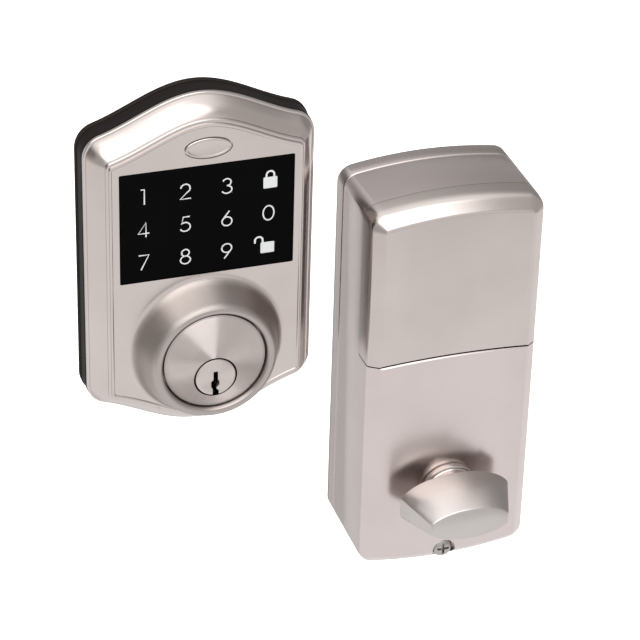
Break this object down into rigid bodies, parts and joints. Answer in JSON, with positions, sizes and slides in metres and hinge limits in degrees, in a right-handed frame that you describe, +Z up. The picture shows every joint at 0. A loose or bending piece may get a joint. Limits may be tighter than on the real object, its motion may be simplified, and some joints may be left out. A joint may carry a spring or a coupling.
{
  "type": "keypad deadbolt lock",
  "caption": "Electronic deadbolt in two units: an arched keypad unit with a touch panel and key cylinder, and an interior unit with a battery cover and thumbturn.",
  "frame": {"origin": "axis of the key cylinder at the plane of the units' backs", "axes": "+Z up the door, -Y out of the door face towards the user, +X to the right as seen from the front"},
  "size_m": [0.1374, 0.0905, 0.1654],
  "materials": {
    "satin_nickel": "satin nickel plate, fine blasted grain",
    "black_rubber": "matt moulded rubber",
    "black_plastic": "fine textured black moulding",
    "black_glass": "polished black panel with pale printed symbols",
    "white_plastic": "natural white moulding",
    "circuit_board": "green solder mask",
    "grey_plastic": "grey moulding",
    "button_red": "red moulding",
    "steel": "zinc-plated steel",
    "spring_steel": "nickel-plated spring steel",
    "brass": "turned brass",
    "cell_jacket": "printed dark jacket"
  },
  "bodies": {
    "lock_body": {"exterior_escutcheon": "satin_nickel", "badge_plate": "satin_nickel", "cylinder_body": "satin_nickel", "interior_base": "satin_nickel", "interior_housing": "satin_nickel", "thumbturn_bushing": "satin_nickel", "weather_gasket": "black_rubber", "exterior_chassis": "black_plastic", "battery_tray": "black_plastic", "control_chip": "black_plastic", "sounder": "black_plastic", "position_switch": "black_plastic", "touch_panel": "black_glass", "panel_light_guide": "white_plastic", "exterior_connector": "white_plastic", "cable_socket": "white_plastic", "keypad_board": "circuit_board", "control_board": "circuit_board", "program_switch": "grey_plastic", "mounting_plate": "steel", "motor": "steel", "gear_plate": "steel", "housing_screw": "steel", "contact_top_left": "spring_steel", "contact_top_right": "spring_steel", "contact_bottom_left": "spring_steel", "contact_bottom_right": "spring_steel", "pin_spring_1": "spring_steel", "pin_spring_2": "spring_steel", "pin_spring_3": "spring_steel", "pin_spring_4": "spring_steel", "pin_spring_5": "spring_steel", "driver_pin_1": "brass", "driver_pin_2": "brass", "driver_pin_3": "brass", "driver_pin_4": "brass", "driver_pin_5": "brass", "battery_1": "cell_jacket", "battery_2": "cell_jacket", "battery_3": "cell_jacket", "battery_4": "cell_jacket"},
    "cylinder_plug": {"key_plug": "satin_nickel", "plug_clip": "spring_steel", "tailpiece": "steel", "key_pin_1": "brass", "key_pin_2": "brass", "key_pin_3": "brass", "key_pin_4": "brass", "key_pin_5": "brass"},
    "thumbturn_shaft": {"thumbturn": "satin_nickel", "knob_set_screw": "steel", "spindle": "steel", "spindle_gear": "white_plastic"},
    "idler": {"idler_gear": "white_plastic"},
    "pinion": {"motor_pinion": "brass"},
    "cover": {"battery_cover": "satin_nickel"},
    "button": {"program_button": "button_red"}
  },
  "joints": [
    {"name": "key_turn", "type": "hinge", "parent": "lock_body", "child": "cylinder_plug", "pos_m": [0, -0.0273, -0.0053], "axis": [0, 1, 0], "range_deg": [-90, 90]},
    {"name": "thumbturn_turn", "type": "hinge", "parent": "lock_body", "child": "thumbturn_shaft", "pos_m": [0.0738, -0.0415, -0.0541], "axis": [0, 1, 0], "range_deg": [-90, 90]},
    {"name": "idler_spin", "type": "hinge", "parent": "lock_body", "child": "idler", "pos_m": [0.0608, -0.009, -0.03298], "axis": [0, 1, 0], "range_deg": [-125, 125]},
    {"name": "pinion_spin", "type": "hinge", "parent": "lock_body", "child": "pinion", "pos_m": [0.07491, -0.009, -0.03012], "axis": [0, 1, 0], "range_deg": [-325, 325]},
    {"name": "battery_cover_slide", "type": "slide", "parent": "lock_body", "child": "cover", "axis": [0, 0, 1], "range_m": [0, 0.06]},
    {"name": "program_button_press", "type": "slide", "parent": "lock_body", "child": "button", "axis": [0, 1, 0], "range_m": [0, 0.0006], "stiffness_N_per_m": 400}
  ],
  "couplings": [
    {"joint": "idler_spin", "follows": "thumbturn_turn", "ratio": -1.3846},
    {"joint": "pinion_spin", "follows": "thumbturn_turn", "ratio": 3.6}
  ]
}
